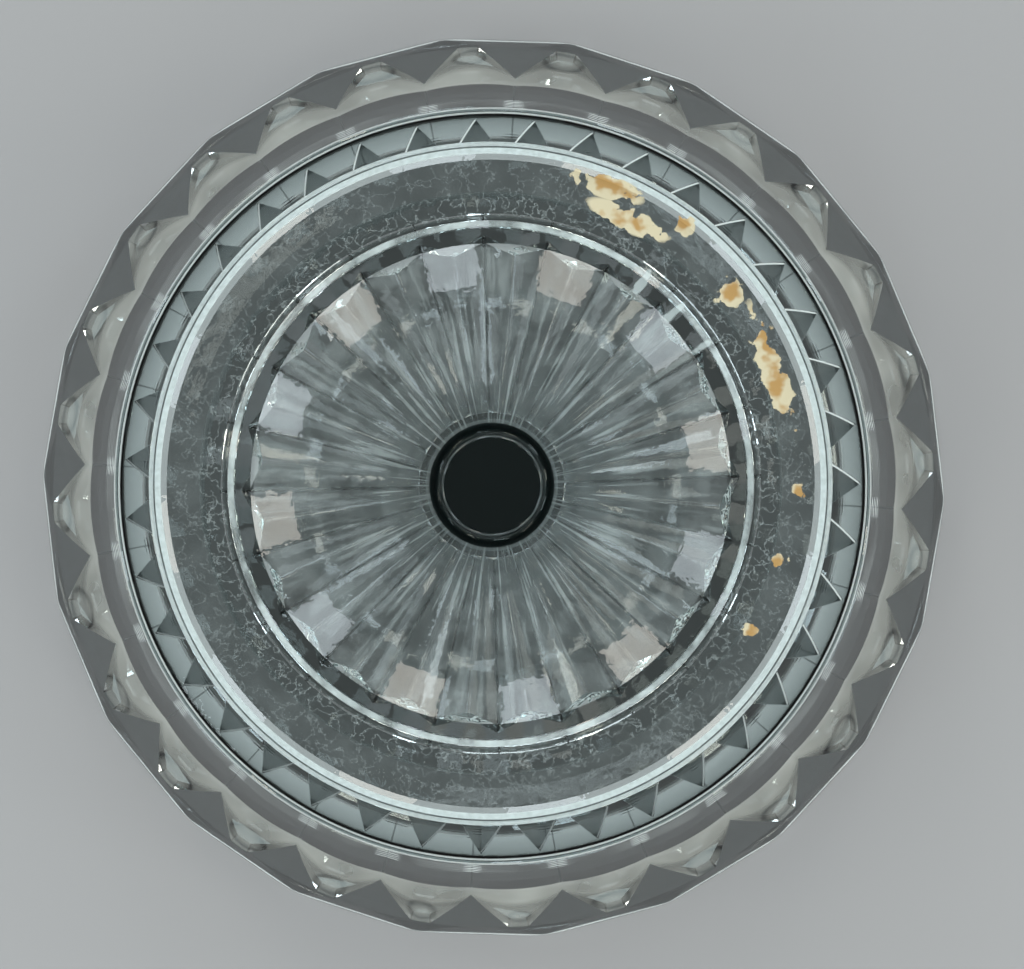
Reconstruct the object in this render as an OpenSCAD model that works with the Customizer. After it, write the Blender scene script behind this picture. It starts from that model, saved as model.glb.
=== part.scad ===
// Pressed-glass pedestal compote, standing on its foot with its axis on Z, in millimetres.
// A flared bowl and a hollow fluted pedestal are pressed apart and fused with a wafer of glass.

/* [Overall] */
// Height of the rim above the table
total_h = 127; // [121:0.5:135]

/* [Bowl wall and rim] */
// Width of the rim across its corners
rim_d = 210; // [204:0.5:218]
// Number of flat sides round the rim
rim_sides = 22; // [16:1:30]
// Depth to which each flat trims the round rim
flat_cut = 0.9; // [0.5:0.05:1.2]
// Height of the flats, which fade out downwards into the round wall
flat_h = 7; // [5:0.5:9]
// Lean of the wall outwards from upright, in degrees
wall_lean = 30; // [28:0.5:32]
// Thickness of the wall
wall_t = 4; // [3:0.25:5]
// Rounding of the rim's two top edges
rim_round = 1.2; // [0.6:0.1:1.6]
// Turn of the rim's corners about the axis, in degrees
rim_turn = 1.7; // [-8:0.1:8]

/* [Toothed belt] */
// Number of ribs, each ending in a tooth
tooth_count = 28; // [20:1:36]
// Drop of the tooth tips below the rim
tooth_drop = 15.5; // [13:0.5:18]
// Distance by which the tooth tips stand out from the wall
tooth_stand = 3.7; // [2.8:0.1:4.5]
// Width of each tooth at its blunt tip
tip_w = 4.4; // [3:0.2:6]
// Height of the notches between the teeth
notch_h = 10.4; // [9:0.2:12]
// Height from the knee in the ribs up to the foot of the notches
knee_h = 2.4; // [1:0.2:4]
// Depth of the creases between the ribs
crease_d = 0.8; // [0.4:0.1:1.2]
// Width of the flank that each rib slopes down to a crease
flank_w = 6; // [4:0.5:8]
// Turn of the teeth about the axis, in degrees
tooth_turn = -3.3; // [-6:0.1:6]

/* [Shoulder and underside of the bowl] */
// Width of the bowl's underside
base_d = 160; // [156:0.5:163]
// Projection of the bead round the underside's edge
bead_w = 2; // [1.2:0.1:2.6]
// Height of that bead
bead_h = 2.2; // [1.5:0.1:2.6]
// Rise of the underside from its seat to its edge
base_rise = 12.5; // [11:0.25:14]
// Flat margin of the underside round the wafer
seat_margin = 0.6; // [0.2:0.1:1.5]
// Thickness of the floor at its middle
floor_t = 8; // [7:0.25:9.5]
// Rise of the dished floor from its middle to the inside corner
dish_rise = 9.5; // [7:0.25:11]
// Height of the inside corner that turns the floor up into the wall
corner_h = 14; // [10:0.5:17]

/* [Star of rays] */
// Number of mitred rays in the star
ray_count = 39; // [30:1:48]
// Margin between the ray tips and the underside's edge
ray_margin = 0.5; // [0.3:0.1:2]
// Width across the inner ends of the rays
ray_inner_d = 44; // [42:0.5:52]
// Depth of the mitre cut at the middle of a ray
ray_depth = 2.7; // [2:0.1:3.2]
// Slope of the mitre's two flanks, in degrees
ray_flank = 13.5; // [11:0.5:18]
// Turn of the star about the axis, in degrees
ray_turn = -0.5; // [-4:0.1:4]

/* [Joining wafer] */
// Width of the wafer's flat faces
wafer_d = 32; // [28:0.5:36]
// Thickness of the wafer
wafer_t = 3; // [2:0.25:4]
// Bulge of its edge beyond the flat faces
wafer_bulge = 1.4; // [0.8:0.1:1.4]

/* [Foot] */
// Width of the foot
foot_d = 129; // [124:0.5:134]
// Height of the foot's edge
edge_h = 4.2; // [3.5:0.1:5]
// Rounding of the foot's edge
edge_round = 1.1; // [0.6:0.1:1.6]
// Width of the ring that the foot stands on
contact_w = 1.2; // [0.8:0.1:2]
// Depth of the recess inside that ring
recess_h = 1.1; // [0.8:0.1:1.5]
// Width across the outer step of the underside
step_outer_d = 110; // [107:0.5:114]
// Run of the outer step's slope
step_outer_run = 2.6; // [1:0.1:3]
// Width across the inner step of the underside
step_inner_d = 99.6; // [97.6:0.2:101]
// Run of the inner step's slope
step_inner_run = 1.4; // [0.8:0.1:2]
// Rise of each step
step_h = 0.9; // [0.6:0.1:1.2]
// Height of the ledge that the flutes stand on
ledge_h = 8.6; // [8:0.1:9.5]
// Width across the crown of the ring moulding on the ledge
ring_d = 100; // [99:0.2:102]
// Radius of that ring moulding
ring_r = 1.5; // [1:0.1:1.8]

/* [Fluted dome] */
// Number of flutes round the dome
flute_count = 24; // [18:1:32]
// Width across the flute valleys at the ledge
flute_foot_d = 90; // [88:0.5:92]
// Width across the flute valleys at the neck
flute_top_d = 33.6; // [32.4:0.2:35]
// Radius of the dome's hollow sweep
sweep_r = 131; // [110:1:170]
// Slope of the flutes' two flanks, in degrees
flute_flank = 13.5; // [10:0.5:16]
// Rounding along the flute valleys
valley_r = 3; // [1:0.25:5]
// Thickness of the dome under the flute valleys
dome_t = 4; // [3.4:0.1:4.6]
// Turn of the flutes about the axis, in degrees
flute_turn = -1.7; // [-7:0.1:7]

/* [Stem] */
// Height of the pedestal, foot and stem together
pedestal_h = 62; // [59:0.5:65]
// Height at which the flutes end under the neck
neck_h = 44.5; // [42:0.5:46]
// Width of the stem at its waist
waist_d = 31; // [30:0.2:32.6]
// Width of the stem's top face
stem_top_d = 32; // [30:0.5:34]
// Width of the bore at its mouth
bore_mouth_d = 26.6; // [25:0.2:27.6]
// Width of the bore at its closed end
bore_end_d = 21.6; // [19:0.2:23]
// Rounding at the closed end of the bore
bore_round = 1.6; // [0.8:0.1:3]
// Thickness of glass left above the bore
bore_web = 4; // [3:0.25:6]

/* [Hidden] */
glass = [0.78, 0.86, 0.87, 0.6];
$fn = 144;
wheel_fn = 720;
// Steps in a rounded stretch of an outline, and round the tip of a cutter
steps = 8;
tip_steps = 2;
// Distance by which a cutting or filling solid runs past the face that it meets
over = 1;
// Cover that the creases leave over the foot of the wall
crease_skin = 0.6;

rim_r = rim_d / 2;
base_r = base_d / 2;
bowl_z = pedestal_h + wafer_t;
base_z = bowl_z + base_rise;
shoulder_z = base_z + bead_h;
floor_z = bowl_z + floor_t;
corner_z = floor_z + dish_rise;
tip_z = total_h - tooth_drop;
notch_z = tip_z - notch_h;
seat_r = wafer_d / 2 + wafer_bulge + seat_margin;

// Points along a round stretch about [x, z], from angle a0 to a1 in n steps
function arc(x, z, r, a0, a1, n = steps) = [
    for (i = [0 : n]) let (a = a0 + (a1 - a0) * i / n) [x + r * cos(a), z + r * sin(a)]
];
// Radius of the wall's outside at height z, where the rounded rim reaches out to rim_r
function wall_r(z) =
    rim_r - rim_round * (1 - cos(wall_lean))
    - (total_h - rim_round * (1 + sin(wall_lean)) - z) * tan(wall_lean);
// Radius of the wall's inside at height z
function inside_r(z) = wall_r(z) - wall_t / cos(wall_lean);

// Wheel with a mitred edge, turning about Y at [x, z], kept to the arc from a0 to a1 that cuts.
// flank is the slope of the edge's two sides, and tip_r rounds the edge between them.
module mitre_wheel(x, z, r, flank, half_w, a0, a1, tip_r = 0) {
    apex = r + tip_r / cos(flank) - tip_r;
    side = apex - half_w * tan(flank);
    tip = tip_r > 0 ? arc(r - tip_r, 0, tip_r, -flank, flank, tip_steps) : [[r, 0]];
    back = side - 2 * half_w;
    translate([x, 0, z]) rotate([90, 0, 0]) rotate([0, 0, a0])
        rotate_extrude(angle = a1 - a0, $fn = wheel_fn)
            polygon(concat([[back, -half_w], [side, -half_w]], tip, [[side, half_w], [back, half_w]]));
}

module bowl() {
    color(glass) difference() {
        union() {
            plain_wall();
            toothed_belt();
            base();
        }
        bowl_inside();
        star_of_rays();
    }
}

// Round leaning wall with a rounded rim, trimmed by flats that lean less than the wall does
module plain_wall() {
    flat_r = rim_r - flat_cut;
    flat_lean = atan((flat_r - wall_r(total_h - flat_h)) / (flat_h - rim_round));
    side_w = 2 * rim_r * tan(180 / rim_sides);
    slab_t = flat_cut + over;
    foot_z = notch_z - over;
    difference() {
        rotate_extrude() polygon(concat(
            [[inside_r(foot_z) - over, foot_z], [wall_r(foot_z), foot_z]],
            arc(rim_r - rim_round, total_h - rim_round, rim_round, -wall_lean, 90),
            [[inside_r(total_h) - over, total_h]]
        ));
        for (i = [0 : rim_sides - 1])
            rotate([0, 0, rim_turn + (i + 0.5) * 360 / rim_sides]) translate([flat_r, 0, total_h - rim_round])
                rotate([0, flat_lean, 0]) translate([0, -side_w / 2, -flat_h])
                    cube([slab_t, side_w, 2 * flat_h]);
    }
}

// Belt of ribs with a knee in them, whose upper ends lean out from the wall as teeth
module toothed_belt() {
    low = [base_r + bead_w, shoulder_z];
    tip = [wall_r(tip_z) + tooth_stand, tip_z];
    tooth_foot = [wall_r(notch_z) + crease_d + crease_skin, notch_z];
    knee = tooth_foot - (tip - tooth_foot) * knee_h / notch_h;
    cut_w = tip.x * tan(180 / tooth_count) - tip_w / 2;
    difference() {
        rotate_extrude() polygon([
            [base_r - 2 * over, low.y - over / 2], [low.x - over, low.y - over / 2], low, knee, tip,
            [wall_r(tip_z) - over, tip_z], [inside_r(notch_z) - 2 * over, notch_z]
        ]);
        for (i = [0 : tooth_count - 1])
            rotate([0, 0, tooth_turn + (i + 0.5) * 360 / tooth_count]) {
                crease(low, knee);
                crease(knee, tip);
                translate([base_r, 0, notch_z]) rotate([90, 0, 90]) linear_extrude(rim_r - base_r)
                    polygon([[0, 0], [2 * cut_w, 2 * notch_h], [-2 * cut_w, 2 * notch_h]]);
            }
    }
}

// Shallow groove between two ribs, along their faces from point a to point b
module crease(a, b) {
    run = b - a;
    translate([a.x, 0, a.y]) rotate([0, atan2(run.x, run.y), 0]) translate([-crease_d, 0, -crease_skin])
        linear_extrude(norm(run) + 2 * crease_skin)
            polygon([[0, 0], [2 * crease_d, -2 * flank_w], [2 * crease_d, 2 * flank_w]]);
}

// Underside with its edge bead, filled up to the inside of the wall
module base() {
    fill_z = corner_z + corner_h;
    rotate_extrude() polygon(concat(
        [[0, bowl_z], [seat_r, bowl_z], [base_r, base_z]],
        arc(base_r + bead_w - bead_h / 2, base_z + bead_h / 2, bead_h / 2, -90, 90),
        [[inside_r(fill_z) - over, fill_z], [0, fill_z]]
    ));
}

// Inside of the bowl: a dished floor, an inside corner and the leaning wall, up to the rounded lip
module bowl_inside() {
    wall_x = inside_r(corner_z + corner_h);
    floor_x = wall_x - corner_h;
    dish_r = (floor_x * floor_x + dish_rise * dish_rise) / (2 * dish_rise);
    dish_a = asin(floor_x / dish_r);
    turn = corner_h * (1 - tan(wall_lean)) / (1 - tan(dish_a) * tan(wall_lean));
    start = [floor_x, corner_z];
    bend = [floor_x + turn, corner_z + turn * tan(dish_a)];
    end = [wall_x, corner_z + corner_h];
    lip_z = total_h - rim_round;
    lip_x = inside_r(lip_z + rim_round * sin(wall_lean)) + rim_round * cos(wall_lean);
    rotate_extrude() polygon(concat(
        arc(0, floor_z + dish_r, dish_r, -90, dish_a - 90),
        [for (i = [1 : steps]) let (t = i / steps)
            start * pow(1 - t, 2) + bend * 2 * t * (1 - t) + end * pow(t, 2)],
        arc(lip_x, lip_z, rim_round, 180 - wall_lean, 90),
        [[lip_x, total_h + over], [0, total_h + over]]
    ));
}

// Mitred rays in the underside, each cut by one pass of a large wheel
module star_of_rays() {
    tip_x = base_r - ray_margin;
    start_x = ray_inner_d / 2;
    lean = atan(base_rise / (base_r - seat_r));
    half = (tip_x - start_x) / cos(lean) / 2;
    wheel_r = (half * half + ray_depth * ray_depth) / (2 * ray_depth);
    back = wheel_r - ray_depth;
    spread = asin(half / wheel_r) + asin(2 * over / wheel_r);
    mid_x = (tip_x + start_x) / 2;
    mid_z = bowl_z + (mid_x - seat_r) * tan(lean);
    for (i = [0 : ray_count - 1])
        rotate([0, 0, ray_turn + i * 360 / ray_count])
            mitre_wheel(mid_x + back * sin(lean), mid_z - back * cos(lean), wheel_r, ray_flank,
                base_r * tan(180 / ray_count), 90 + lean - spread, 90 + lean + spread);
}

module joining_wafer() {
    bulge_r = (pow(wafer_t / 2, 2) + pow(wafer_bulge, 2)) / (2 * wafer_bulge);
    half_a = asin(wafer_t / 2 / bulge_r);
    color(glass) rotate_extrude() polygon(concat(
        [[0, pedestal_h]],
        arc(wafer_d / 2 + wafer_bulge - bulge_r, pedestal_h + wafer_t / 2, bulge_r, -half_a, half_a),
        [[0, bowl_z]]
    ));
}

// Middle of the dome's hollow sweep, which runs through the flute valleys at the ledge and at the neck
sweep_dx = (flute_foot_d - flute_top_d) / 2;
sweep_dz = neck_h - ledge_h;
sweep_chord = sqrt(sweep_dx * sweep_dx + sweep_dz * sweep_dz);
sweep_back = sqrt(sweep_r * sweep_r - sweep_chord * sweep_chord / 4);
sweep_x = (flute_foot_d + flute_top_d) / 4 + sweep_back * sweep_dz / sweep_chord;
sweep_z = (ledge_h + neck_h) / 2 + sweep_back * sweep_dx / sweep_chord;
// Angle about that middle at which a sweep of radius r has the height z
function sweep_a(z, r) = 180 + asin((sweep_z - z) / r);

module pedestal() {
    color(glass) difference() {
        union() {
            foot_plate();
            fluted_dome();
            neck();
        }
        pedestal_inside();
    }
}

// Foot with a rounded edge, a sloping top and a ring moulding beside the ledge
module foot_plate() {
    flat_r = foot_d / 2 - edge_round;
    rotate_extrude() polygon(concat(
        [[0, 0], [flat_r, 0]],
        arc(flat_r, edge_round, edge_round, -90, 0),
        arc(flat_r, edge_h - edge_round, edge_round, 0, 80),
        arc(ring_d / 2, ledge_h - ring_r / 2, ring_r, 0, 150),
        [[0, ledge_h]]
    ));
}

// Hollow-sided dome whose whole outside is cut away by flutes that meet in sharp edges
module fluted_dome() {
    foot_r = flute_foot_d / 2;
    top_r = flute_top_d / 2;
    half_w = foot_r * tan(180 / flute_count) + over;
    skin = half_w * tan(flute_flank) + 2 * over;
    low_a = sweep_a(ledge_h - 2 * over, sweep_r);
    high_a = sweep_a(neck_h + 2 * over, sweep_r);
    difference() {
        rotate_extrude() polygon([
            [0, ledge_h - over], [foot_r + skin, ledge_h - over], [foot_r + skin, ledge_h + over],
            [top_r + skin, neck_h], [0, neck_h]
        ]);
        for (i = [0 : flute_count - 1])
            rotate([0, 0, flute_turn + (i + 0.5) * 360 / flute_count])
                mitre_wheel(sweep_x, sweep_z, sweep_r, flute_flank, half_w, high_a, low_a, valley_r);
    }
}

// Waisted stem, as wide as the flute valleys where they end
module neck() {
    start_z = neck_h - 2 * over;
    waist_z = (neck_h + pedestal_h) / 2;
    root_r = flute_top_d / 2 + over / 2;
    waist_r = waist_d / 2;
    rotate_extrude() polygon(concat(
        [[0, start_z]],
        [for (i = [0 : steps]) let (t = i / steps)
            [root_r + (waist_r - root_r) * sin(90 * t), start_z + (waist_z - start_z) * t]],
        [for (i = [1 : steps]) let (t = i / steps)
            [waist_r + (stem_top_d / 2 - waist_r) * (1 - cos(90 * t)), waist_z + (pedestal_h - waist_z) * t]],
        [[0, pedestal_h]]
    ));
}

// Stepped recess under the foot, the hollow of the dome and the blind bore of the stem
module pedestal_inside() {
    contact_r = foot_d / 2 - edge_round - contact_w;
    hollow_r = sweep_r + dome_t;
    low_z = recess_h + step_h;
    mouth_z = low_z + step_h;
    throat_a = 180 + acos((sweep_x - bore_mouth_d / 2) / hollow_r);
    end_r = bore_end_d / 2;
    end_z = pedestal_h - bore_web;
    rotate_extrude() polygon(concat(
        [[0, -over], [contact_r, -over], [contact_r, 0], [contact_r - recess_h, recess_h]],
        [[step_outer_d / 2, recess_h], [step_outer_d / 2 - step_outer_run, low_z]],
        [[step_inner_d / 2, low_z], [step_inner_d / 2 - step_inner_run, mouth_z]],
        arc(sweep_x, sweep_z, hollow_r, sweep_a(mouth_z, hollow_r), throat_a),
        arc(end_r - bore_round, end_z - bore_round, bore_round, 0, 90),
        [[0, end_z]]
    ));
}

bowl();
joining_wafer();
pedestal();
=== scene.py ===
import math
import bpy
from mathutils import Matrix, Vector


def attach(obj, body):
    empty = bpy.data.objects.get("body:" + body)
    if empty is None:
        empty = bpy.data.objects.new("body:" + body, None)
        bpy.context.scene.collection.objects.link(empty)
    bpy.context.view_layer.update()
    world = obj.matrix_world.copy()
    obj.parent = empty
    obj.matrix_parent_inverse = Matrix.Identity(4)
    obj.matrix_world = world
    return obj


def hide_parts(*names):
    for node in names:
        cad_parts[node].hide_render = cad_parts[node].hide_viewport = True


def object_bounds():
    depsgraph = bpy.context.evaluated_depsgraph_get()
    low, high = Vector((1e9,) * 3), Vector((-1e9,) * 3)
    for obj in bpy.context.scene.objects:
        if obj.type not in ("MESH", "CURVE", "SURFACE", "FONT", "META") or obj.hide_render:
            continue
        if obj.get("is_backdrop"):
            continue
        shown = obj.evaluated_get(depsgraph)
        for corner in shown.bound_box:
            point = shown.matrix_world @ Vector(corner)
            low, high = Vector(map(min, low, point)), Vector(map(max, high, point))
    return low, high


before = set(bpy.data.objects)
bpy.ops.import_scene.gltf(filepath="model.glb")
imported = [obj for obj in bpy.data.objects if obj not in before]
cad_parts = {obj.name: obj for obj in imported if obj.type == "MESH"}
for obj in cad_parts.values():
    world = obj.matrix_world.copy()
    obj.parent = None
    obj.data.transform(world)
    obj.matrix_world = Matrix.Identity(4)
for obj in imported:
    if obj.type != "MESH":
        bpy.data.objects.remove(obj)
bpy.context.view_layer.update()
scene = bpy.context.scene
mm = 0.001


# drawing by hand

def deselectAll():
    if bpy.context.object and bpy.context.object.mode != "OBJECT":
        bpy.ops.object.mode_set(mode="OBJECT")
    bpy.ops.object.select_all(action="DESELECT")


def openPiece(piece):
    deselectAll()
    piece.select_set(True)
    bpy.context.view_layer.objects.active = piece
    bpy.ops.object.mode_set(mode="EDIT")
    bpy.ops.mesh.select_mode(type="VERT")
    bpy.ops.mesh.select_all(action="SELECT")


def turned(points, degrees):  # (out, z) or (out, across, z) in millimetres, turned about the axis
    c, s = math.cos(math.radians(degrees)), math.sin(math.radians(degrees))
    full = [p if len(p) == 3 else (p[0], 0, p[1]) for p in points]
    return [(c * x - s * y, s * x + c * y, z) for x, y, z in full]


def curve(x, z, r, start, end, steps):  # points along a round stretch
    turns = [math.radians(start + (end - start) * i / steps) for i in range(steps + 1)]
    return [(x + r * math.cos(a), z + r * math.sin(a)) for a in turns]


def drawLine(name, points, filled=False):  # one point, extruded from corner to corner
    deselectAll()
    bpy.ops.mesh.primitive_plane_add(size=mm)
    piece = bpy.context.object
    piece.name = piece.data.name = name
    bpy.ops.object.mode_set(mode="EDIT")
    bpy.ops.mesh.merge(type="CENTER")
    bpy.ops.transform.translate(value=[c * mm for c in points[0]])
    for start, end in zip(points, points[1:]):
        step = [(e - s) * mm for s, e in zip(start, end)]
        bpy.ops.mesh.extrude_region_move(TRANSFORM_OT_translate={"value": step})
    bpy.ops.mesh.select_all(action="SELECT")
    if filled:
        bpy.ops.mesh.edge_face_add()
    return piece


def spinOpen(steps, degrees, center, axis):  # spin turns clockwise about its axis, hence the minus
    bpy.ops.mesh.spin(steps=steps, angle=math.radians(degrees),
                      center=[c * mm for c in center], axis=[-a for a in axis])


def closeUp(piece):
    bpy.ops.mesh.select_all(action="SELECT")
    bpy.ops.mesh.remove_doubles(threshold=0.002 * mm)
    bpy.ops.mesh.normals_make_consistent(inside=False)
    bpy.ops.object.mode_set(mode="OBJECT")
    return piece


def makeRound(name, outline, steps, turn):  # a whole turn of an open outline
    piece = drawLine(name, turned(outline, turn))
    spinOpen(steps, 360, (0, 0, 0), (0, 0, 1))
    return closeUp(piece)


def makeWedge(name, outline, steps, step, turn):  # a slice of a round solid
    piece = drawLine(name, turned(outline, turn - steps * step / 2), True)
    spinOpen(steps, steps * step, (0, 0, 0), (0, 0, 1))
    return closeUp(piece)


def makeSweep(name, section, x, z, start, end, steps, turn):  # a section swept about a level axis across the slice
    a = math.radians(start)
    points = [(x + out * math.cos(a), across, z + out * math.sin(a)) for across, out in section]
    piece = drawLine(name, turned(points, turn), True)
    t = math.radians(turn)
    spinOpen(steps, end - start, turned([(x, z)], turn)[0], (math.sin(t), -math.cos(t), 0))
    return closeUp(piece)


def combine(piece, tool, operation):
    deselectAll()
    piece.select_set(True)
    bpy.context.view_layer.objects.active = piece
    change = piece.modifiers.new(tool.name, "BOOLEAN")
    change.operation, change.solver, change.object = operation, "EXACT", tool
    bpy.ops.object.modifier_apply(modifier=change.name)
    bpy.data.objects.remove(tool)
    return piece


def pickIn(piece, mode):  # opens a piece with nothing picked, for picks made in code
    deselectAll()
    piece.select_set(True)
    bpy.context.view_layer.objects.active = piece
    scene.tool_settings.mesh_select_mode = [mode == kind for kind in ("VERT", "EDGE", "FACE")]
    for part in (piece.data.vertices, piece.data.edges, piece.data.polygons):
        part.foreach_set("select", [False] * len(part))


def dropFaces(piece, unwanted):  # unwanted takes a face's radius, height, and normal outwards and upwards
    pickIn(piece, "FACE")
    for face in piece.data.polygons:
        r = math.hypot(face.center.x, face.center.y)
        out = (face.normal.x * face.center.x + face.normal.y * face.center.y) / max(r, 1e-9)
        face.select = unwanted(r / mm, face.center.z / mm, out, face.normal.z)
    bpy.ops.object.mode_set(mode="EDIT")
    bpy.ops.mesh.delete(type="FACE")
    bpy.ops.object.mode_set(mode="OBJECT")


def repeatRound(piece, count, turn):  # one slice, trimmed and copied all the way round
    openPiece(piece)
    for side in (1, -1):
        a = math.radians(turn + side * 180 / count)
        bpy.ops.mesh.select_all(action="SELECT")
        bpy.ops.mesh.bisect(plane_co=(0, 0, 0), plane_no=(-side * math.sin(a), side * math.cos(a), 0),
                            clear_outer=True, threshold=0.001 * mm)
    bpy.ops.mesh.select_all(action="SELECT")
    bpy.ops.mesh.spin(steps=count - 1, dupli=True, angle=2 * math.pi * (count - 1) / count,
                      center=(0, 0, 0), axis=(0, 0, 1))
    return closeUp(piece)


def joinPieces(name, *pieces):
    deselectAll()
    for piece in pieces:
        piece.select_set(True)
    bpy.context.view_layer.objects.active = pieces[0]
    bpy.ops.object.join()
    pieces[0].name = pieces[0].data.name = name
    return pieces[0]


def bridgeRings(piece, *rings):  # each ring is a radius and a height where an open edge runs round
    pickIn(piece, "EDGE")
    mesh = piece.data
    for edge in mesh.edges:
        ends = [mesh.vertices[i].co for i in edge.vertices]
        edge.select = any(all(abs(math.hypot(v.x, v.y) / mm - r) < 0.02 and abs(v.z / mm - z) < 0.02
                              for v in ends) for r, z in rings)
    bpy.ops.object.mode_set(mode="EDIT")
    bpy.ops.mesh.bridge_edge_loops()
    bpy.ops.object.mode_set(mode="OBJECT")


def softShade(piece, degrees):
    deselectAll()
    piece.select_set(True)
    bpy.context.view_layer.objects.active = piece
    bpy.ops.object.shade_smooth_by_angle(angle=math.radians(degrees))


def openEdges(piece):
    openPiece(piece)
    bpy.ops.mesh.select_all(action="DESELECT")
    bpy.ops.mesh.select_non_manifold()
    bpy.ops.object.mode_set(mode="OBJECT")
    return sum(e.select for e in piece.data.edges)


# bowl

bowl = {
    "rimR": 105, "rimZ": 127, "lip": 1.2, "lean": 30, "wall": 4,
    "flats": 22, "flatCut": 0.9, "flatTall": 7, "flatTurn": 1.7, "flatSteps": 14,
    "teeth": 28, "toothZ": 111.5, "toothStand": 3.7, "tipWide": 4.4, "notchZ": 101.1, "footStand": 1.4, "kneeTall": 2.4,
    "kneeBend": 8, "ribRound": 60, "ribWide": 14, "ribDeep": 9, "toothTurn": -3.3, "toothSteps": 11, "tipZ": 119.5,
    "seatR": 18, "seatZ": 65, "joinR": 16, "edgeR": 80, "edgeZ": 77.5, "beadR": 82, "beadTall": 2.2,
    "floorZ": 73, "dishRise": 9.5, "cornerTall": 14,
    "rays": 39, "rayOuter": 79.5, "rayInner": 22, "rayDeep": 2.7, "rayFlank": 13.5, "rayTurn": -0.5, "raySteps": 8,
}


def wallR(z):
    b, a = bowl, math.radians(bowl["lean"])
    top = b["rimZ"] - b["lip"] * (1 + math.sin(a))
    return b["rimR"] - b["lip"] * (1 - math.cos(a)) - (top - z) * math.tan(a)


def insideR(z):
    return wallR(z) - bowl["wall"] / math.cos(math.radians(bowl["lean"]))


def makeRays():  # one mitred ray in the underside, all the way round
    b = bowl
    rise = (b["edgeZ"] - b["seatZ"]) / (b["edgeR"] - b["seatR"])
    lean = math.atan(rise)
    step = 360 / b["rays"] / b["raySteps"]
    inner = b["seatR"] + 2
    outline = [(inner, b["seatZ"] + 2 * rise), (b["edgeR"], b["edgeZ"]), (b["edgeR"], b["edgeZ"] + 7),
               (inner, b["seatZ"] + 2 * rise + 7)]
    slice_ = makeWedge("rays", outline, b["raySteps"] + 4, step, b["rayTurn"])
    half = (b["rayOuter"] - b["rayInner"]) / math.cos(lean) / 2
    wheel = (half ** 2 + b["rayDeep"] ** 2) / (2 * b["rayDeep"])
    back = wheel - b["rayDeep"]
    midX = (b["rayOuter"] + b["rayInner"]) / 2
    x = midX + back * math.sin(lean)
    z = b["seatZ"] + (midX - b["seatR"]) * rise - back * math.cos(lean)
    spread = math.degrees(math.asin(half / wheel)) + 0.8
    wide = 8
    low = wheel - wide * math.tan(math.radians(b["rayFlank"]))
    section = [(-wide, low), (0, wheel), (wide, low), (wide, wheel - 12), (-wide, wheel - 12)]
    middle = 90 + math.degrees(lean)
    combine(slice_, makeSweep("mitre", section, x, z, middle - spread, middle + spread, 48, b["rayTurn"]), "DIFFERENCE")
    dropFaces(slice_, lambda r, z, out, up: up > -0.5)
    return repeatRound(slice_, b["rays"], b["rayTurn"])


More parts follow.
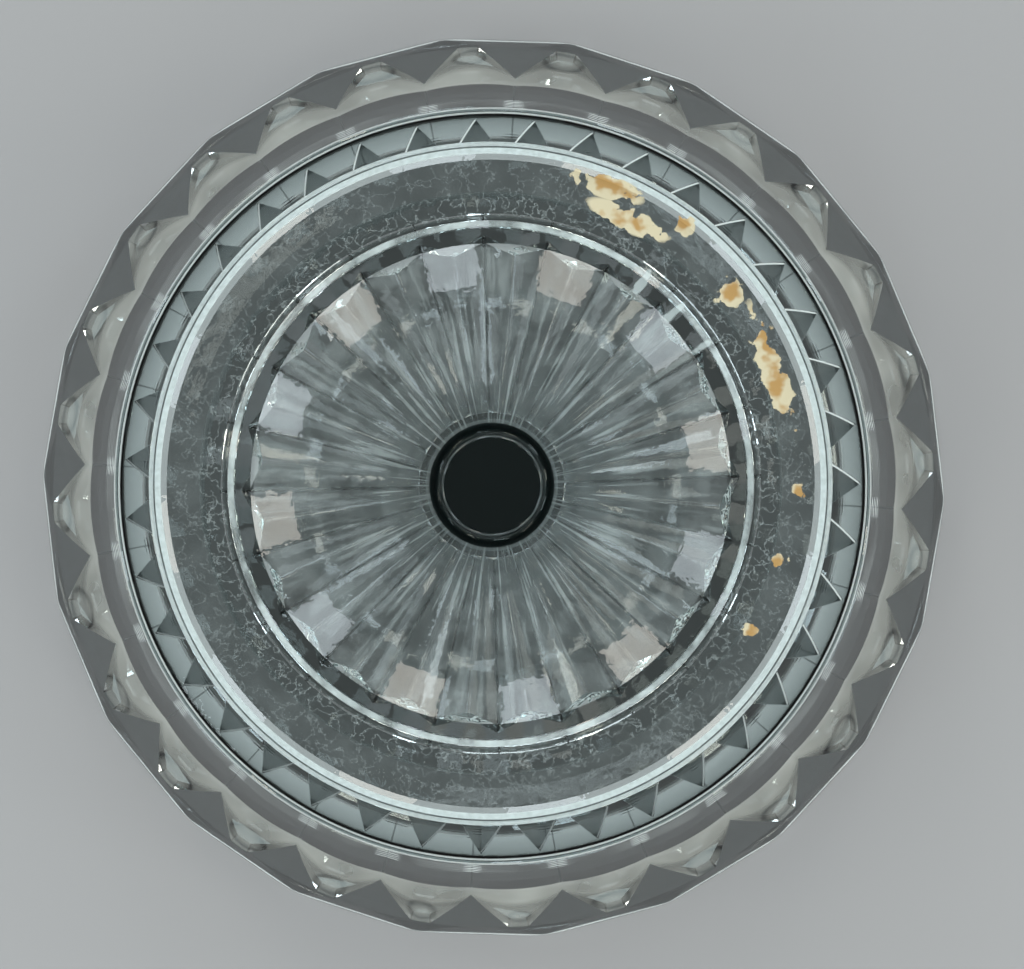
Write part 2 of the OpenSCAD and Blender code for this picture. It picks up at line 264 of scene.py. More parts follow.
def makeTeeth():  # one rib with a knee in it, that leans out of the wall as a tooth, all the way round
    b = bowl
    step = 360 / b["teeth"] / b["toothSteps"]
    steps = b["toothSteps"] + 4
    turn = b["toothTurn"]
    tip = (wallR(b["toothZ"]) + b["toothStand"], b["toothZ"])
    foot = (wallR(b["notchZ"]) + b["footStand"], b["notchZ"])
    lean = math.atan2(tip[0] - foot[0], tip[1] - foot[1])
    knee = (foot[0] - b["kneeTall"] * math.tan(lean), foot[1] - b["kneeTall"])
    low = (b["beadR"], b["edgeZ"] + b["beadTall"])
    lowLean = math.atan2(knee[0] - low[0], knee[1] - low[1])
    # a round-faced bar, drawn up from below the shoulder, bent at the knee and drawn on past the tip
    r, wide, deep = b["ribRound"], b["ribWide"], b["ribDeep"]
    face = [(wide * i / 8, math.sqrt(r * r - (wide * i / 8) ** 2) - r) for i in range(-8, 9)]
    section = [(-wide, -deep), *face, (wide, -deep)]
    bend = b["kneeBend"] * math.tan((lean - lowLean) / 2)
    past = 4
    along = math.dist(low, knee) - bend + past
    start = (low[0] - past * math.sin(lowLean), low[1] - past * math.cos(lowLean))
    points = [(start[0] + out * math.cos(lowLean), across, start[1] - out * math.sin(lowLean)) for across, out in section]
    rib = drawLine("rib", turned(points, turn), True)

    def drawOn(lean, far, count):
        for i in range(count):
            hop = turned([(far * math.sin(lean) / count, far * math.cos(lean) / count)], turn)[0]
            bpy.ops.mesh.extrude_region_move(TRANSFORM_OT_translate={"value": [c * mm for c in hop]})

    drawOn(lowLean, along, 8)
    bendAt = (knee[0] - bend * math.sin(lowLean), knee[1] - bend * math.cos(lowLean))
    center = (bendAt[0] + b["kneeBend"] * math.cos(lowLean), bendAt[1] - b["kneeBend"] * math.sin(lowLean))
    t = math.radians(turn)
    spinOpen(6, math.degrees(lowLean - lean), turned([center], turn)[0], (math.sin(t), -math.cos(t), 0))
    drawOn(lean, math.dist(knee, tip) - bend + past, 6)
    closeUp(rib)
    # level at the shoulder and at the tip, notched on both sides, then set on the wall
    bead, seamZ, wallZ = low[0] - b["beadTall"] / 2, b["tipZ"] + 0.25, b["notchZ"] - 1
    backZ = wallZ + 0.7  # clear of the plane that the wall starts on
    core = [(bead, low[1]), (110, low[1]), (110, tip[1]), (wallR(tip[1]) - 2, tip[1]), (wallR(backZ) - 2.3, backZ)]
    combine(rib, makeWedge("core", core, steps, step, turn), "INTERSECT")
    half = tip[0] * math.tan(math.pi / b["teeth"]) - b["tipWide"] / 2
    tall = tip[1] - b["notchZ"]
    for side in (1, -1):
        valley = turn + side * 180 / b["teeth"]
        notch = drawLine("notch", turned([(84, 0, foot[1]), (84, 2 * half, foot[1] + 2 * tall),
                                          (84, -2 * half, foot[1] + 2 * tall)], valley), True)
        bpy.ops.mesh.extrude_region_move(TRANSFORM_OT_translate={"value": [c * mm for c in turned([(30, 0)], valley)[0]]})
        combine(rib, closeUp(notch), "DIFFERENCE")
    wall = [(wallR(z) - inset, z) for z, inset in ((wallZ, 0), (seamZ, 0), (seamZ, 3.5), (wallZ, 3.5))]
    combine(rib, makeWedge("wall", wall, steps + 2, step, turn), "UNION")
    dropFaces(rib, lambda r, z, out, up: out < -0.3 or z > seamZ - 0.01 or (up < -0.9 and z > low[1] + 5))
    return repeatRound(rib, b["teeth"], turn)


def makeRim():  # one flat side of the rim, all the way round
    b = bowl
    step = 360 / b["flats"] / b["flatSteps"]
    turn = b["flatTurn"] + 180 / b["flats"]
    seamZ = b["tipZ"] + 0.4
    lip = curve(b["rimR"] - b["lip"], b["rimZ"] - b["lip"], b["lip"], -b["lean"], 90, 10)
    outline = [(wallR(seamZ), seamZ), *lip, (b["rimR"] - b["lip"] - 0.9, b["rimZ"]), (wallR(seamZ) - 3.5, seamZ)]
    slice_ = makeWedge("rim", outline, b["flatSteps"] + 4, step, turn)
    flatR, flatZ = b["rimR"] - b["flatCut"], b["rimZ"] - b["lip"]
    lean = math.atan2(flatR - wallR(b["rimZ"] - b["flatTall"]), b["flatTall"] - b["lip"])
    deselectAll()
    bpy.ops.mesh.primitive_cube_add(size=1)
    slab = bpy.context.object
    bpy.ops.object.mode_set(mode="EDIT")
    bpy.ops.transform.resize(value=(4 * mm, 60 * mm, 24 * mm))
    bpy.ops.transform.translate(value=(2 * mm, 0, 0))
    bpy.ops.object.mode_set(mode="OBJECT")
    slab.rotation_euler = (0, lean, math.radians(turn))
    slab.location = [c * mm for c in turned([(flatR, flatZ)], turn)[0]]
    bpy.ops.object.transform_apply()
    combine(slice_, slab, "DIFFERENCE")
    dropFaces(slice_, lambda r, z, out, up: out < -0.3 or (out < 0.3 and up < 0.5))
    return repeatRound(slice_, b["flats"], turn)


def makeBowl():
    b = bowl
    rise = (b["edgeZ"] - b["seatZ"]) / (b["edgeR"] - b["seatR"])
    raySteps = b["rays"] * b["raySteps"]
    flatSteps = b["flats"] * b["flatSteps"]
    beadX, beadZ, beadHalf = b["beadR"] - b["beadTall"] / 2, b["edgeZ"] + b["beadTall"] / 2, b["beadTall"] / 2
    seat = makeRound("seat", [(0, b["seatZ"]), (b["joinR"], b["seatZ"]), (b["seatR"], b["seatZ"]),
                              (b["seatR"] + 2, b["seatZ"] + 2 * rise)], raySteps, b["rayTurn"])
    bead = makeRound("bead", [(b["edgeR"], b["edgeZ"]), *curve(beadX, beadZ, beadHalf, -90, 75, 10)],
                     raySteps, b["rayTurn"])
    beadEnd = curve(beadX, beadZ, beadHalf, -90, 75, 10)[-1]
    # the inside: lip, leaning wall, corner and dished floor
    a = math.radians(b["lean"])
    cornerZ = b["floorZ"] + b["dishRise"]
    wallX = insideR(cornerZ + b["cornerTall"])
    floorX = wallX - b["cornerTall"]
    dish = (floorX ** 2 + b["dishRise"] ** 2) / (2 * b["dishRise"])
    dishA = math.asin(floorX / dish)
    turn = b["cornerTall"] * (1 - math.tan(a)) / (1 - math.tan(dishA) * math.tan(a))
    knots = [(floorX, cornerZ), (floorX + turn, cornerZ + turn * math.tan(dishA)), (wallX, cornerZ + b["cornerTall"])]
    corner = [tuple(knots[0][j] * (1 - t) ** 2 + knots[1][j] * 2 * t * (1 - t) + knots[2][j] * t * t for j in (0, 1))
              for t in (i / 20 for i in range(1, 20))]
    lipZ = b["rimZ"] - b["lip"]
    lipX = insideR(lipZ + b["lip"] * math.sin(a)) + b["lip"] * math.cos(a)
    walls = [(insideR(z), z) for z in (122, 116, 109, 102)]
    floor = curve(0, b["floorZ"] + dish, dish, -90, math.degrees(dishA) - 90, 24)
    inside = [(b["rimR"] - b["lip"] - 0.9, b["rimZ"]), *curve(lipX, lipZ, b["lip"], 90, 180 - b["lean"], 8),
              *walls, knots[2], *reversed(corner), *reversed(floor)]
    inner = makeRound("inside", inside, flatSteps, b["flatTurn"])
    piece = joinPieces("compoteBowl", makeRays(), seat, bead, makeTeeth(), makeRim(), inner)
    openPiece(piece)
    closeUp(piece)
    bridgeRings(piece, beadEnd, (beadX, b["edgeZ"] + b["beadTall"]))
    bridgeRings(piece, *((wallR(z), z) for z in (b["tipZ"] + 0.25, b["tipZ"] + 0.4)))
    openPiece(piece)
    closeUp(piece)
    print("bowl", len(piece.data.polygons), "faces,", openEdges(piece), "open edges")
    softShade(piece, 9)
    return piece


# joining wafer

wafer = {"r": 16, "low": 62, "high": 65, "bulge": 1.4, "steps": 240}


def makeWafer():
    w = wafer
    half = (w["high"] - w["low"]) / 2
    r = (half ** 2 + w["bulge"] ** 2) / (2 * w["bulge"])
    a = math.degrees(math.asin(half / r))
    edge = curve(w["r"] + w["bulge"] - r, w["low"] + half, r, -a, a, 12)
    piece = makeRound("joiningWafer", [(0, w["low"]), *edge, (0, w["high"])], w["steps"], 0)
    print("wafer", len(piece.data.polygons), "faces,", openEdges(piece), "open edges")
    softShade(piece, 30)
    return piece


# pedestal

pedestal = {
    "footR": 64.5, "edgeTall": 4.2, "edgeRound": 1.1, "ringWide": 1.2, "recess": 1.1,
    "outerStep": (55, 2.6), "innerStep": (49.8, 1.4), "stepTall": 0.9,
    "ledgeZ": 8.6, "ringR": 50, "ringRound": 1.5,
    "flutes": 24, "fluteFootR": 45, "fluteTopR": 16.8, "sweep": 131, "fluteFlank": 13.5, "valleyRound": 3,
    "domeThick": 4, "fluteTurn": -1.7, "fluteSteps": 10,
    "topZ": 62, "neckZ": 44.5, "waistR": 15.5, "topR": 16, "boreMouthR": 13.3, "boreEndR": 10.8, "boreRound": 1.6, "web": 4,
}


def makePedestal():
    p = pedestal
    step = 360 / p["flutes"] / p["fluteSteps"]
    steps = p["fluteSteps"] + 4
    turn = p["fluteTurn"] + 180 / p["flutes"]
    footX = p["footR"] - p["edgeRound"]
    edgeZ = p["edgeTall"] / 2
    # the sweep of the flute valleys, from the ledge to the neck
    dx, dz = p["fluteFootR"] - p["fluteTopR"], p["neckZ"] - p["ledgeZ"]
    chord = math.hypot(dx, dz)
    back = math.sqrt(p["sweep"] ** 2 - chord ** 2 / 4)
    sweepX = (p["fluteFootR"] + p["fluteTopR"]) / 2 + back * dz / chord
    sweepZ = (p["ledgeZ"] + p["neckZ"]) / 2 + back * dx / chord
    p["sweepX"], p["sweepZ"] = sweepX, sweepZ
    sweepA = lambda z, r: 180 + math.degrees(math.asin((sweepZ - z) / r))
    # foot, dome and neck as slices, with one flute cut down the dome
    foot = [(p["footR"], edgeZ), *curve(footX, p["edgeTall"] - p["edgeRound"], p["edgeRound"], 0, 80, 8),
            *curve(p["ringR"], p["ledgeZ"] - p["ringRound"] / 2, p["ringRound"], 0, 150, 14), (13, p["ledgeZ"]), (13, edgeZ)]
    dome = [(14, p["ledgeZ"] - 1), (p["fluteFootR"] + 3.6, p["ledgeZ"] - 1), (p["fluteFootR"] + 3.6, p["ledgeZ"] + 1),
            (p["fluteTopR"] + 3.6, p["neckZ"]), (14, p["neckZ"])]
    neckZ, waistZ = p["neckZ"] - 2, (p["neckZ"] + p["topZ"]) / 2
    rootR = p["fluteTopR"] + 0.5
    quarter = [math.radians(90 * i / 12) for i in range(13)]
    neck = [(12, neckZ), *((rootR + (p["waistR"] - rootR) * math.sin(a), neckZ + (waistZ - neckZ) * a / quarter[-1]) for a in quarter),
            *((p["waistR"] + (p["topR"] - p["waistR"]) * (1 - math.cos(a)), waistZ + (p["topZ"] - waistZ) * a / quarter[-1])
              for a in quarter[1:]), (12, p["topZ"])]
    f = math.radians(p["fluteFlank"])
    apex = p["sweep"] + p["valleyRound"] * (1 / math.cos(f) - 1)
    tip = [(p["valleyRound"] * math.sin(f * i / 4), p["sweep"] - p["valleyRound"] * (1 - math.cos(f * i / 4))) for i in range(-4, 5)]
    wide = 9
    side = apex - wide * math.tan(f)
    section = [(-wide, side), *tip, (wide, side), (wide, side - 14), (-wide, side - 14)]
    slice_ = makeWedge("dome", dome, steps, step, turn)
    combine(slice_, makeSweep("flute", section, sweepX, sweepZ, sweepA(p["neckZ"] + 2, p["sweep"]),
                              sweepA(p["ledgeZ"] - 2, p["sweep"]), 44, turn), "DIFFERENCE")
    combine(slice_, makeWedge("foot", foot, steps + 2, step, turn), "UNION")
    combine(slice_, makeWedge("neck", neck, steps + 4, step, turn), "UNION")
    dropFaces(slice_, lambda r, z, out, up: (r < 15 and (out < -0.3 or z < neckZ)) or up < -0.9
              or (up > 0.9 and z > p["topZ"] - 0.1))
    outside = repeatRound(slice_, p["flutes"], turn)
    # underside: the ring it stands on, two steps, the hollow of the dome and the blind bore
    hollow = p["sweep"] + p["domeThick"]
    lowZ = p["recess"] + p["stepTall"]
    mouthZ = lowZ + p["stepTall"]
    ringX = footX - p["ringWide"]
    throat = 180 + math.degrees(math.acos((sweepX - p["boreMouthR"]) / hollow))
    endX, endZ = p["boreEndR"] - p["boreRound"], p["topZ"] - p["web"]
    under = [(p["footR"], edgeZ), *reversed(curve(footX, p["edgeRound"], p["edgeRound"], -90, 0, 8)), (ringX, 0),
             (ringX - p["recess"], p["recess"]), (p["outerStep"][0], p["recess"]),
             (p["outerStep"][0] - p["outerStep"][1], lowZ), (p["innerStep"][0], lowZ),
             (p["innerStep"][0] - p["innerStep"][1], mouthZ),
             *curve(sweepX, sweepZ, hollow, sweepA(mouthZ, hollow), throat, 40),
             *curve(endX, endZ - p["boreRound"], p["boreRound"], 0, 90, 8), (0, endZ)]
    underside = makeRound("underside", under, p["flutes"] * p["fluteSteps"], turn)
    top = makeRound("top", [(p["topR"], p["topZ"]), (0, p["topZ"])], p["flutes"] * p["fluteSteps"], turn)
    piece = joinPieces("compotePedestal", outside, underside, top)
    openPiece(piece)
    closeUp(piece)
    print("pedestal", len(piece.data.polygons), "faces,", openEdges(piece), "open edges")
    softShade(piece, 9)
    return piece


bowlPiece = makeBowl()
waferPiece = makeWafer()
pedestalPiece = makePedestal()


# finishes

class Wire:  # an output of a node, for sums on values
    def __init__(self, tree, socket=None):
        self.tree, self.socket = tree, socket

    def node(self, kind, settings=None, inputs=None, output=0):
        made = self.tree.nodes.new(kind)
        for name, value in (settings or {}).items():
            if name == "stops":
                while len(made.color_ramp.elements) < len(value):
                    made.color_ramp.elements.new(1)
                for stop, (place, colour) in zip(made.color_ramp.elements, value):
                    stop.position, stop.color = place, (*colour, 1)
            else:
                setattr(made, name, value)
        for name, value in (inputs or {}).items():
            if isinstance(value, Wire):
                self.tree.links.new(value.socket, made.inputs[name])
            else:
                made.inputs[name].default_value = value
        return Wire(self.tree, made.outputs[output]) if len(made.outputs) else None

    def sums(self, operation, a, b=0.0):
        return self.node("ShaderNodeMath", {"operation": operation}, {0: a, 1: b})

    def fade(self, start, end):  # 0 at start, 1 at end
        return self.node("ShaderNodeMapRange", {"interpolation_type": "SMOOTHSTEP"},
                         {"Value": self, "From Min": start, "From Max": end})

    def within(self, low, high, soft):
        return self.fade(low - soft, low + soft) * self.fade(high + soft, high - soft)

    def noise(self, scale, detail=2.0):
        return self.node("ShaderNodeTexNoise", inputs={"Vector": self, "Scale": scale, "Detail": detail})

    def __add__(self, other):
        return self.sums("ADD", self, other)

    def __radd__(self, other):
        return self.sums("ADD", other, self)

    def __sub__(self, other):
        return self.sums("SUBTRACT", self, other)

    def __rsub__(self, other):
        return self.sums("SUBTRACT", other, self)

    def __mul__(self, other):
        return self.sums("MULTIPLY", self, other)

    def __rmul__(self, other):
        return self.sums("MULTIPLY", other, self)

    def __truediv__(self, other):
        return self.sums("DIVIDE", self, other)

    def __rtruediv__(self, other):
        return self.sums("DIVIDE", other, self)


def newFinish(name):
    finish = bpy.data.materials.new(name)
    finish.use_nodes = True
    finish.node_tree.nodes.clear()
    return finish, Wire(finish.node_tree)


glass = {"tint": (0.90, 0.965, 0.96, 1), "ior": 1.5, "ripple": 0.05, "rippleSize": 45, "bowlGrain": 0.012, "footGrain": 0.05, "grainSize": 320,
         "body": (0.55, 0.66, 0.66, 1), "dense": 42}


def glassShader(w, place, grain):
    height = place.noise(glass["rippleSize"], 1.0) * glass["ripple"] + place.noise(glass["grainSize"]) * grain
    wavy = w.node("ShaderNodeBump", inputs={"Strength": 1.0, "Distance": 1 * mm, "Height": height})
    return w.node("ShaderNodeBsdfPrincipled", inputs={
        "Base Color": glass["tint"], "Roughness": 0.0, "IOR": glass["ior"], "Transmission Weight": 1.0, "Normal": wavy})


def glassBody(w):
    return w.node("ShaderNodeVolumeAbsorption", inputs={"Color": glass["body"], "Density": glass["dense"]})


def matte(w, colour, rough):
    return w.node("ShaderNodeBsdfPrincipled", inputs={"Base Color": colour, "Roughness": rough})


def over(w, amount, lower, upper):
    return w.node("ShaderNodeMixShader", inputs={0: amount, 1: lower, 2: upper})


def whereIs(w):  # object coordinates, and x, y, z and radius in millimetres
    place = w.node("ShaderNodeTexCoord", output="Object")
    x, y, z = (w.node("ShaderNodeSeparateXYZ", inputs={0: place}, output=axis) * 1000 for axis in "XYZ")
    return place, x, y, z, w.sums("SQRT", x * x + y * y)


# colours and amounts painted in for light and shade on the bowl; the pale one is also used for the worn rim edge
paintedLightAndWear = {
    "tooth": (0.34, 0.36, 0.33, 1), "pale": (0.60, 0.67, 0.66, 1), "paintedShade": (0.02, 0.03, 0.03, 1),
    "face": 0.54, "cloud": 0.7,
}


def makeBowlGlass():  # clear, with a satin skin on the teeth as a painted reflection, painted shade and painted highlight lines where facets meet, and a worn rim edge that also carries a painted highlight
    finish, w = newFinish("clearGlass")
    b = bowl
    place, x, y, z, r = whereIs(w)
    around = w.sums("ARCTAN2", y, x)

    def fromMiddle(count, turn):  # distance along the circle from the nearest of the repeats
        turns = (around - math.radians(turn)) * (count / (2 * math.pi))
        return (turns - w.sums("ROUND", turns)) * r * (2 * math.pi / count)

    # teeth: a painted reflection, with painted arch and lens shapes in each tooth
    tan = math.tan(math.radians(b["lean"]))
    stand = r - (z - b["notchZ"]) * tan - wallR(b["notchZ"])
    off = fromMiddle(b["teeth"], b["toothTurn"])
    cloud = place.noise(70, 1.0)
    arch = z - 103.2 + off * off * 0.03 + (cloud - 0.5) * 5
    tipZ = z - 107.6
    oval = w.sums("SQRT", off * off * 0.05 + tipZ * tipZ * 0.12) + (cloud - 0.5) * 2.2
    lens = oval.within(0.72, 1.0, 0.14) - oval.fade(0.6, 0.3) * 0.6
    tone = paintedLightAndWear["face"] + (cloud - 0.5) * paintedLightAndWear["cloud"] - arch.fade(0.0, 2.4) * 0.26 - lens * 0.17
    face = stand.fade(0.25, 0.45) * z.within(97.6, b["toothZ"] - 0.2, 0.4) * tone
    # belt below the teeth: creases drawn as painted shade lines, with painted highlight panes beside them
    crease = w.sums("ABSOLUTE", fromMiddle(b["teeth"], b["toothTurn"] + 180 / b["teeth"]))
    belt = stand.fade(-3, -2.5) * r.fade(81.0, 81.6)
    lines = w.sums("SINE", z * 5.5 + cloud * 9).fade(-0.3, 0.8)
    near = (crease + (cloud - 0.5) * 3).fade(2.8, 1.0) * 0.6 + cloud.fade(0.3, 0.7) * 0.3
    paneHighlights = z.within(80.6, 86.2, 0.6) * belt * lines * near
    creaseShade = crease.fade(0.28, 0.12) * z.within(80, 100, 0.3) * belt * 0.5
    # worn edge of the rim, partly wear and partly a painted highlight
    rim = r.fade(103.2, 103.8) * z.within(125.2, 126.5, 0.2) * (cloud * 0.5 + 0.35)
    # painted highlight lines on the rounding of the bead
    bead = (r.within(80.5, 80.9, 0.12) * 0.6 + r.within(81.5, 81.95, 0.12) * 0.5) * z.fade(78.9, 78.6) * z.fade(77.0, 77.4)
    # rays: leaves darkened with painted shade, each with a painted highlight along one edge towards its tip
    ray = fromMiddle(b["rays"], b["rayTurn"])
    middle, half = (b["rayOuter"] + b["rayInner"]) / 2, (b["rayOuter"] - b["rayInner"]) / 2
    run = (r - middle) / half
    leafWide = (1 - run * run) * (b["rayDeep"] / math.tan(math.radians(b["rayFlank"])))
    under = z.fade(78.2, 77.8)
    leafShade = (w.sums("ABSOLUTE", ray) - leafWide).fade(0.1, -0.3) * r.within(64, 79.4, 0.2) * under * 0.74
    # painted light: the edge highlights are brighter towards one side of the bowl
    lit = (x - y).fade(-60, 90) * 0.75 + 0.15
    edge = (ray + leafWide).within(0.15, 0.55, 0.12) * r.within(73.2, 79.2, 0.3) * under * lit
    surface = over(w, leafShade + creaseShade, glassShader(w, place, glass["bowlGrain"]), matte(w, paintedLightAndWear["paintedShade"], 0.25))
    surface = over(w, face, surface, matte(w, paintedLightAndWear["tooth"], 0.3))
    surface = over(w, edge + paneHighlights + rim + bead, surface, matte(w, paintedLightAndWear["pale"], 0.4))
    w.node("ShaderNodeOutputMaterial", inputs={"Surface": surface, "Volume": glassBody(w)})
    return finish


def makeClearGlass():
    finish, w = newFinish("waferGlass")
    place = whereIs(w)[0]
    w.node("ShaderNodeOutputMaterial", inputs={"Surface": glassShader(w, place, glass["bowlGrain"]), "Volume": glassBody(w)})
    return finish


wearAndPaintedLight = {
    "frostAndHighlights": (0.48, 0.57, 0.565, 1), "cream": (0.50, 0.46, 0.31, 1), "ochre": (0.36, 0.22, 0.07, 1), "line": (0.015, 0.025, 0.025, 1),
    # dried residue under the foot: middle, half length, half width and slant of each patch
    "patches": [(21.9, -56, 7, 2.2, 21), (26, -49.8, 8, 2.2, 25), (36.4, -48.7, 2, 2.6, 0), (44.8, -36.2, 3.2, 3, 40),
                (53.2, -21.8, 12.5, 2.8, 71), (58.8, 1.9, 2.6, 1.8, 75), (54.5, 14.7, 2, 1.7, 0), (49, 27.4, 2, 1.7, 0)],
    "drips": [33, 43, 53],
}


def makePedestalGlass():  # worn where it stands, hazy and scratched inside that, with dried residue, painted highlight rings on the inner step and in the bore, and painted shade and highlight lines along the flute edges
    finish, w = newFinish("wornGlass")
    place, x, y, z, r = whereIs(w)
    around = w.sums("ARCTAN2", y, x)
    fine, broad = place.noise(900), place.noise(160)
    under = z.fade(3.4, 3.0)
    contact = r.within(62.1, 63.25, 0.1) * 0.9 + r.within(63.5, 64.45, 0.1) * 0.65
    contact = contact * z.fade(1.6, 1.2) * (fine * 0.5 + 0.7)
    scratch = w.sums("ABSOLUTE", place.noise(420, 4.0) - 0.5).fade(0.02, 0.004)
    haze = r.within(54.6, 62.1, 0.3) * (broad.fade(0.3, 0.8) * 0.05 + 0.06 + scratch * 0.14)
    # a painted highlight ring on the inner step
    ringHighlight = r.within(48.6, 49.7, 0.15) * (place.noise(120).fade(0.35, 0.65) * 0.6 + fine * 0.5)
    rubs = r.within(50.2, 54.6, 0.3) * (scratch * 0.25 + 0.04)
    # painted highlight lines at the end and at the mouth of the bore
    boreHighlights = r.within(10.1, 10.6, 0.1) * z.fade(56.0, 56.6) * 0.45 + r.within(12.9, 13.3, 0.12) * z.within(37, 41, 0.5) * 0.3
    frostAndHighlights = contact + (haze + ringHighlight + rubs) * under + boreHighlights
    for angle in wearAndPaintedLight["drips"]:
        a = math.radians(-angle)
        off = (x - 47.2 * math.cos(a)) * -math.sin(a) + (y - 47.2 * math.sin(a)) * math.cos(a)
        reach = (x - 47.2 * math.cos(a)) * math.cos(a) + (y - 47.2 * math.sin(a)) * math.sin(a)
        blob = off * off / 0.7 + reach * reach / 9 + (broad - 0.5) * 4 + (fine - 0.5) * 1.5
        frostAndHighlights = frostAndHighlights + blob.fade(1.2, 0.3) * r.within(43.5, 51.5, 0.5) * under * 0.55
    # a film of lime in the hollow and the bore
    reach = w.sums("SQRT", (r - pedestal["sweepX"]) * (r - pedestal["sweepX"]) +
                   (z - pedestal["sweepZ"]) * (z - pedestal["sweepZ"]))
    film = reach.fade(133.8, 134.4) * r.within(11, 46, 0.3) * z.within(3.4, 57, 0.3)
    polar = w.node("ShaderNodeCombineXYZ", inputs={0: around * 24, 1: r * 0.06, 2: 0.0})
    streaks = polar.noise(1.0, 3.0).fade(0.5, 0.68) * (r.fade(40, 15) * 0.42 + 0.14)
    frostAndHighlights = frostAndHighlights + film * (broad.fade(0.35, 0.7) * 0.12 + fine * 0.12 + streaks + r.fade(30, 14) * 0.1 + r.fade(13.6, 13.2) * 0.4)
    frostAndHighlights = w.sums("MINIMUM", frostAndHighlights, 1.0)
    # the flutes' sharp edges, each a painted shade line beside a painted highlight line
    flutes = pedestal["flutes"]
    turn = (around - math.radians(pedestal["fluteTurn"])) * (flutes / (2 * math.pi))
    side = (turn - w.sums("ROUND", turn)) * r * (2 * math.pi / flutes)
    outside = z.within(8.9, 44, 0.2) * reach.fade(133.4, 132.8)
    paintedShade = side.within(-0.28, 0.2, 0.08) * outside
    pale = side.within(0.2, 0.5, 0.1) * outside * broad.fade(0.45, 0.6)
    # islands of residue, ochre in the middle
    field = None
    for px, py, halfLong, halfWide, slant in wearAndPaintedLight["patches"]:
        c, s = math.cos(math.radians(slant)), math.sin(math.radians(slant))
        along = ((x - px) * c + (y - py) * s) / halfLong
        across = ((y - py) * c - (x - px) * s) / halfWide
        one = 1 - (along * along + across * across)
        field = one if field is None else w.sums("MAXIMUM", field, one)
    ragged = field * 0.55 + (place.noise(330, 3.0) - 0.5) * 2.4
    islands = ragged.fade(0.1, 0.2) * field.fade(-0.4, 0.1) * under
    rust = (field * 0.4 + (place.noise(300) - 0.5) * 2.0).fade(0.1, 0.5)
    colour = w.node("ShaderNodeMix", {"data_type": "RGBA"}, {0: rust, 6: wearAndPaintedLight["cream"], 7: wearAndPaintedLight["ochre"]}, 2)
    surface = over(w, frostAndHighlights, glassShader(w, place, glass["footGrain"]), matte(w, wearAndPaintedLight["frostAndHighlights"], 0.55))
    surface = over(w, paintedShade * 0.8, surface, matte(w, wearAndPaintedLight["line"], 0.3))
    surface = over(w, pale * 0.5, surface, matte(w, wearAndPaintedLight["frostAndHighlights"], 0.4))
    surface = over(w, islands, surface, matte(w, colour, 0.75))
    w.node("ShaderNodeOutputMaterial", inputs={"Surface": surface, "Volume": glassBody(w)})
    return finish


def makeFusedSeam():  # hot glass joined to hot glass: nothing shows between the two
    finish, w = newFinish("fusedSeam")
    see = w.node("ShaderNodeBsdfPrincipled", inputs={"Base Color": (1, 1, 1, 1), "Alpha": 0.0})
    w.node("ShaderNodeOutputMaterial", inputs={"Surface": see, "Volume": glassBody(w)})
    return finish


bowlGlass, waferGlass, wornGlass = makeBowlGlass(), makeClearGlass(), makePedestalGlass()
fusedSeam = makeFusedSeam()


def dress(piece, finish, joins):  # joins are the heights of the faces that are fused to the next piece
    piece.data.materials.append(finish)
    piece.data.materials.append(fusedSeam)
    for face in piece.data.polygons:
        level = abs(face.normal.z) > 0.999 and any(abs(face.center.z / mm - z) < 0.01 for z in joins)
        near = all(math.hypot(*piece.data.vertices[i].co.xy) / mm < bowl["joinR"] + 0.01 for i in face.vertices)
        face.material_index = 1 if level and near else 0


dress(bowlPiece, bowlGlass, [wafer["high"]])
dress(waferPiece, waferGlass, [wafer["low"], wafer["high"]])
dress(pedestalPiece, wornGlass, [wafer["low"]])
for piece, node in ((bowlPiece, "bowl"), (waferPiece, "joining_wafer"), (pedestalPiece, "pedestal")):
    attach(piece, "root")
    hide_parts(node)


# stage

stage = {"pale": (0.30, 0.308, 0.31, 1), "floor": (0.55, 0.56, 0.56, 1), "steady": 0.16, "dim": 0.15, "band": 0.32, "backdrop": 0.62}


def makePale(name, colour, mirrored):  # mirrored: whether light thrown back inside the glass still finds it
    finish, w = newFinish(name)
    ray = lambda output: w.node("ShaderNodeLightPath", output=output)
    seen = w.sums("MINIMUM", ray("Is Camera Ray") + ray("Is Glossy Ray") + ray("Is Transmission Ray"), 1.0)
    lit = w.node("ShaderNodeBsdfDiffuse", inputs={"Color": colour})
    glow = w.node("ShaderNodeEmission", inputs={"Color": colour, "Strength": 1.0})
    face = w.node("ShaderNodeMixShader", inputs={0: seen * stage["steady"], 1: lit, 2: glow})
    back = w.node("ShaderNodeNewGeometry", output="Backfacing")
    gone = w.sums("MAXIMUM", back, ray("Is Shadow Ray"))
    if not mirrored:
        gone = w.sums("MAXIMUM", gone, w.sums("MINIMUM", ray("Glossy Depth"), 1.0))
    clear = w.node("ShaderNodeBsdfTransparent")
    shown = w.node("ShaderNodeMixShader", inputs={0: gone, 1: face, 2: clear})
    w.node("ShaderNodeOutputMaterial", inputs={"Surface": shown})
    return finish


def makeSheet(name, z, size, faceUp, finish):
    deselectAll()
    bpy.ops.mesh.primitive_plane_add(size=size, location=(0, 0, z))
    sheet = bpy.context.object
    sheet.name = name
    if not faceUp:
        sheet.rotation_euler.x = math.pi
    sheet.data.materials.append(finish)
    sheet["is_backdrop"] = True
    return sheet


table = makeSheet("table", 127.1 * mm, 1.4, False, makePale("palePaper", stage["pale"], True))
floor = makeSheet("floor", 0, 6, True, makePale("paleFloor", stage["floor"], False))
floor.visible_glossy = floor.visible_diffuse = table.visible_diffuse = False

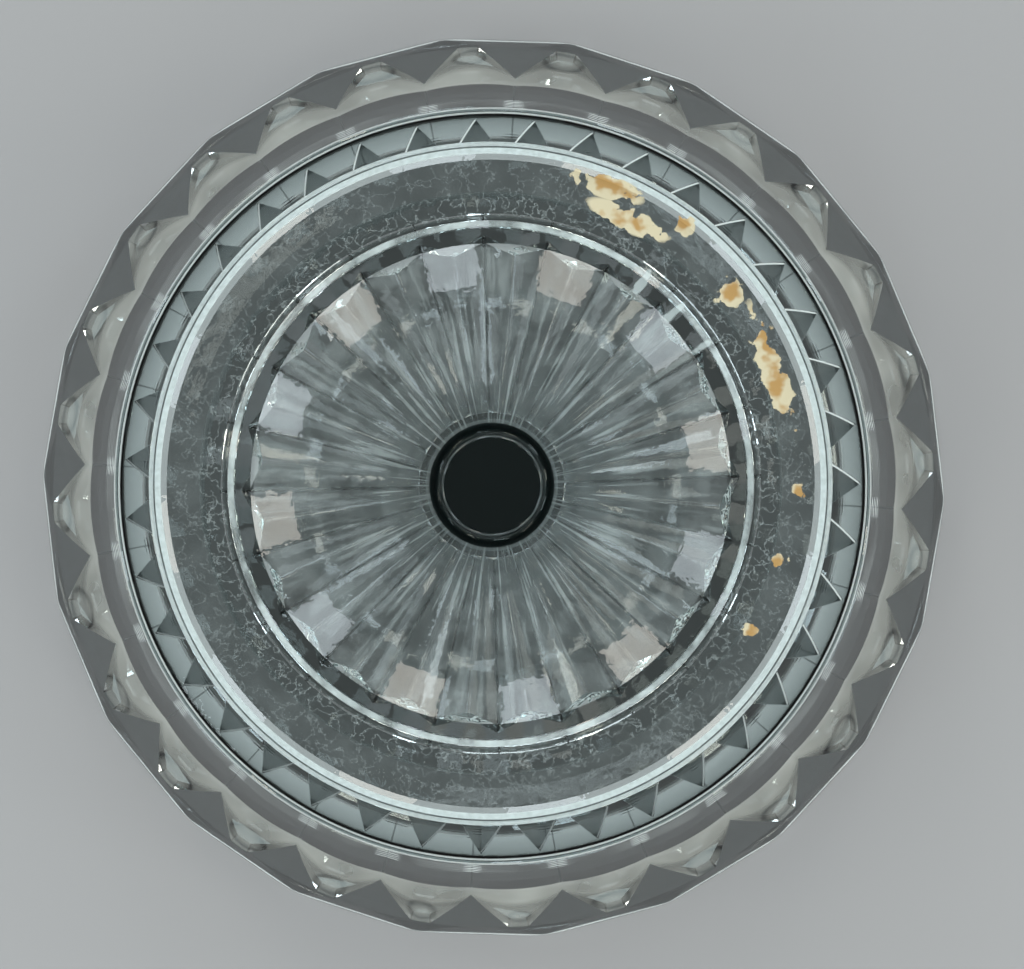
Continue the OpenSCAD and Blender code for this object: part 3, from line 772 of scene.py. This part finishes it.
world = bpy.data.worlds.new("room")
scene.world = world
world.use_nodes = True
world.node_tree.nodes.clear()
w = Wire(world.node_tree)
way = w.node("ShaderNodeTexCoord", output="Generated")
up = w.node("ShaderNodeSeparateXYZ", inputs={0: way}, output="Z")
low, high = up.fade(-0.62, -0.42), up.fade(0.0, 0.12)
tone = stage["dim"] + low * (stage["band"] - stage["dim"]) + high * (stage["backdrop"] - stage["band"])
seen = w.sums("MINIMUM", w.node("ShaderNodeLightPath", output="Is Camera Ray") + w.node("ShaderNodeLightPath", output="Is Glossy Ray")
              + w.node("ShaderNodeLightPath", output="Is Transmission Ray"), 1.0)
roomLight = w.node("ShaderNodeBackground", inputs={"Color": (0.97, 1.0, 1.02, 1), "Strength": 0.7})
paleBack = w.node("ShaderNodeBackground", inputs={"Color": (1, 1, 1, 1), "Strength": tone})
w.node("ShaderNodeOutputWorld", inputs={"Surface": w.node("ShaderNodeMixShader", inputs={0: seen, 1: roomLight, 2: paleBack})})


def addLamp(name, place, size, power, colour):
    deselectAll()
    bpy.ops.object.light_add(type="AREA", location=[c * mm for c in place])
    lamp = bpy.context.object
    lamp.name = name
    lamp.data.shape = "RECTANGLE"
    lamp.data.size, lamp.data.size_y = [c * mm for c in size]
    lamp.data.energy, lamp.data.color = power, colour
    aim = lamp.location * -1
    aim.z += 60 * mm
    lamp.rotation_euler = aim.to_track_quat("-Z", "Y").to_euler()
    lamp.visible_camera = False
    return lamp


addLamp("softboxRight", (430, 330, -430), (400, 300), 0.8, (1.0, 0.95, 0.88))
addLamp("softboxLeft", (-430, 330, -430), (400, 300), 0.8, (0.88, 0.95, 1.0))
addLamp("softboxBack", (-120, -520, -400), (400, 300), 0.8, (0.92, 0.96, 1.0))
for i in range(12):
    a = math.radians(30 * i + 20)
    addLamp("panel%d" % i, (620 * math.cos(a), 620 * math.sin(a), -112), (150, 200), 0.5, (1.0, 0.94, 0.84) if i % 2 else (0.84, 0.93, 1.0))
for i in range(9):
    a = math.radians(40 * i + 8)
    addLamp("strip%d" % i, (520 * math.cos(a), 520 * math.sin(a), -290), (45, 220), 0.2, (0.86, 0.93, 1.0) if i % 3 else (1.0, 0.9, 0.76))
addLamp("softboxTop", (0, -350, 900), (700, 700), 2.5, (1, 1, 1))

bpy.ops.object.camera_add(location=(2.9 * mm, 3.7 * mm, -524 * mm), rotation=(math.pi, 0, 0))
camera = bpy.context.object
camera.name = "camera"
camera.data.lens = 97.9
camera.data.sensor_width = 36
camera.data.shift_x, camera.data.shift_y = 0.0058, 0.0183
camera.data.clip_start = 0.01
scene.camera = camera

scene.view_settings.view_transform = "Standard"
scene.cycles.use_denoising = True
scene.cycles.caustics_refractive = scene.cycles.caustics_reflective = False
low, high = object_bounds()
